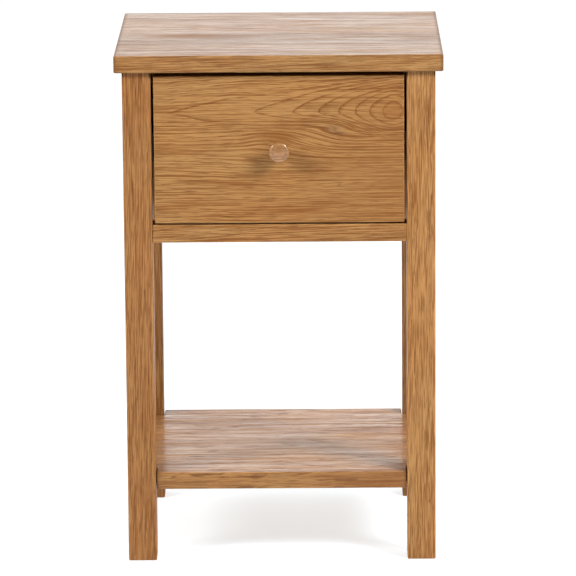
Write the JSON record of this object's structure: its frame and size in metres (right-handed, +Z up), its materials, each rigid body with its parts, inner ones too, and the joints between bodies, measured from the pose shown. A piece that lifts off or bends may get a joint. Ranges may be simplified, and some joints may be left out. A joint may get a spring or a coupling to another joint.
{
  "type": "side table with drawer",
  "caption": "Small square-legged oak side table with an overhanging top, one drawer with a round knob on ball-bearing slides, and an open low shelf.",
  "frame": {"origin": "on the floor, in the middle of the whole object's plan (the knob included)", "axes": "+Z up, the drawer front faces -Y, +X to the right as seen by someone facing the drawer"},
  "size_m": [0.4, 0.3644, 0.635],
  "materials": {
    "oak": "satin lacquered oak, warm honey colour",
    "inner_oak": "planed oak, not lacquered",
    "drawer_board": "planed pale hardwood, thin clear lacquer",
    "plywood": "thin birch plywood",
    "dowel": "fluted beech dowel, dry",
    "slide_steel": "bright zinc-plated rolled steel",
    "cage_steel": "thin pressed steel",
    "ball_steel": "polished bearing steel, greased",
    "screw": "zinc-plated steel screw"
  },
  "bodies": {
    "frame": {"table_top": "oak", "leg_front_left": "oak", "leg_front_right": "oak", "leg_back_left": "oak", "leg_back_right": "oak", "side_panel_left": "oak", "side_panel_right": "oak", "back_panel": "oak", "front_rail": "oak", "top_rail": "inner_oak", "back_cleat": "inner_oak", "shelf": "oak", "front_rail_dowels": "dowel", "top_rail_dowels": "dowel", "side_panel_dowels": "dowel", "back_panel_dowels": "dowel", "shelf_dowels": "dowel", "slide_batten_left": "inner_oak", "slide_batten_right": "inner_oak", "batten_screws": "screw", "cleat_screws": "screw", "top_screws": "screw", "slide_outer_left": "slide_steel", "slide_outer_right": "slide_steel", "cabinet_slide_screws": "screw"},
    "drawer": {"drawer_front": "oak", "drawer_box_front": "drawer_board", "drawer_side_left": "drawer_board", "drawer_side_right": "drawer_board", "drawer_box_back": "drawer_board", "drawer_bottom": "plywood", "front_screws": "screw", "knob": "oak", "knob_screw": "screw", "slide_inner_left": "slide_steel", "slide_inner_right": "slide_steel", "drawer_slide_screws": "screw"},
    "middle_left": {"slide_middle_left": "slide_steel"},
    "middle_right": {"slide_middle_right": "slide_steel"},
    "outer_race_left": {"outer_cage_left": "cage_steel", "outer_balls_left": "ball_steel"},
    "outer_race_right": {"outer_cage_right": "cage_steel", "outer_balls_right": "ball_steel"},
    "inner_race_left": {"inner_cage_left": "cage_steel", "inner_balls_left": "ball_steel"},
    "inner_race_right": {"inner_cage_right": "cage_steel", "inner_balls_right": "ball_steel"}
  },
  "joints": [
    {"name": "drawer_slide", "type": "slide", "parent": "frame", "child": "drawer", "axis": [0, -1, 0], "range_m": [0, 0.25]},
    {"name": "middle_slide_left", "type": "slide", "parent": "frame", "child": "middle_left", "axis": [0, -1, 0], "range_m": [0, 0.125]},
    {"name": "outer_race_slide_left", "type": "slide", "parent": "frame", "child": "outer_race_left", "axis": [0, -1, 0], "range_m": [0, 0.0625]},
    {"name": "inner_race_slide_left", "type": "slide", "parent": "frame", "child": "inner_race_left", "axis": [0, -1, 0], "range_m": [0, 0.1875]},
    {"name": "middle_slide_right", "type": "slide", "parent": "frame", "child": "middle_right", "axis": [0, -1, 0], "range_m": [0, 0.125]},
    {"name": "outer_race_slide_right", "type": "slide", "parent": "frame", "child": "outer_race_right", "axis": [0, -1, 0], "range_m": [0, 0.0625]},
    {"name": "inner_race_slide_right", "type": "slide", "parent": "frame", "child": "inner_race_right", "axis": [0, -1, 0], "range_m": [0, 0.1875]}
  ],
  "couplings": [
    {"joint": "middle_slide_left", "follows": "drawer_slide", "ratio": 0.5},
    {"joint": "outer_race_slide_left", "follows": "drawer_slide", "ratio": 0.25},
    {"joint": "inner_race_slide_left", "follows": "drawer_slide", "ratio": 0.75},
    {"joint": "middle_slide_right", "follows": "drawer_slide", "ratio": 0.5},
    {"joint": "outer_race_slide_right", "follows": "drawer_slide", "ratio": 0.25},
    {"joint": "inner_race_slide_right", "follows": "drawer_slide", "ratio": 0.75}
  ]
}
